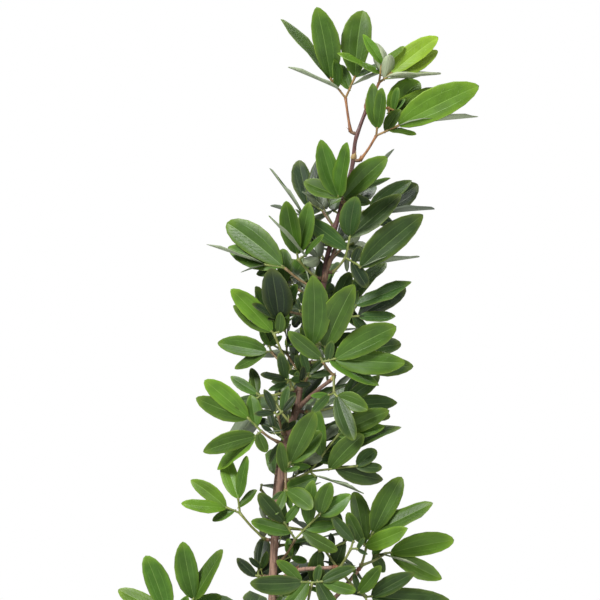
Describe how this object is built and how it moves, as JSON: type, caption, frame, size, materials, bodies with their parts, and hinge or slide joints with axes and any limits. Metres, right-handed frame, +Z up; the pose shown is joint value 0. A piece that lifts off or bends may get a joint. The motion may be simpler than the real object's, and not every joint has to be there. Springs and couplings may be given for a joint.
{
  "type": "potted powderpuff shrub",
  "caption": "Young upright flowering shrub with forked compound leaves on one slender leaning stem, standing in a plain round tapered growing pot.",
  "frame": {"origin": "centre of the pot's flat underside", "axes": "+Z up along the pot's axis, -Y towards the side that the picture shows, +X to that view's right"},
  "size_m": [0.2588, 0.2517, 0.8391],
  "materials": {
    "pot_plastic": "matte",
    "potting_mix": "crumbly, rough",
    "trunk_bark": "matte bark",
    "bough_bark": "matte young bark",
    "leaf_green": "soft gloss",
    "young_leaf_green": "soft gloss"
  },
  "bodies": {
    "root": {"bough_low_back": "bough_bark", "bough_low_front": "bough_bark", "bough_low_left": "bough_bark", "bough_low_right": "bough_bark", "bough_lower_right": "bough_bark", "bough_middle_back": "bough_bark", "bough_upper_right": "bough_bark", "leaves_back_base": "leaf_green", "leaves_back_heart": "leaf_green", "leaves_back_lower_left": "leaf_green", "leaves_back_lower_right": "leaf_green", "leaves_back_middle": "leaf_green", "leaves_back_neck": "leaf_green", "leaves_back_shoulder": "leaf_green", "leaves_back_side_left": "leaf_green", "leaves_back_side_right": "leaf_green", "leaves_back_waist_left": "leaf_green", "leaves_back_waist_right": "leaf_green", "leaves_base_left": "leaf_green", "leaves_base_middle": "leaf_green", "leaves_base_right": "leaf_green", "leaves_corner_left": "leaf_green", "leaves_far_left": "leaf_green", "leaves_heart_front": "leaf_green", "leaves_heart_left": "leaf_green", "leaves_heart_right": "leaf_green", "leaves_heart_small": "leaf_green", "leaves_heart_upper": "leaf_green", "leaves_low_back": "leaf_green", "leaves_low_front": "leaf_green", "leaves_low_left": "leaf_green", "leaves_low_left_back": "leaf_green", "leaves_low_left_front": "leaf_green", "leaves_low_right": "leaf_green", "leaves_low_right_back": "leaf_green", "leaves_low_right_front": "leaf_green", "leaves_lower_front": "leaf_green", "leaves_lower_left": "leaf_green", "leaves_lower_right": "leaf_green", "leaves_middle_left": "leaf_green", "leaves_middle_right": "leaf_green", "leaves_middle_right_back": "leaf_green", "leaves_neck_front": "leaf_green", "leaves_neck_left": "leaf_green", "leaves_neck_right": "leaf_green", "leaves_shoulder_left": "leaf_green", "leaves_shoulder_right": "leaf_green", "leaves_side_left": "leaf_green", "leaves_side_right": "leaf_green", "leaves_top": "young_leaf_green", "leaves_upper_left": "young_leaf_green", "leaves_upper_right": "young_leaf_green", "leaves_waist_front": "leaf_green", "leaves_waist_left": "leaf_green", "leaves_waist_right": "leaf_green", "pot": "pot_plastic", "soil": "potting_mix", "trunk": "trunk_bark"}
  },
  "joints": []
}
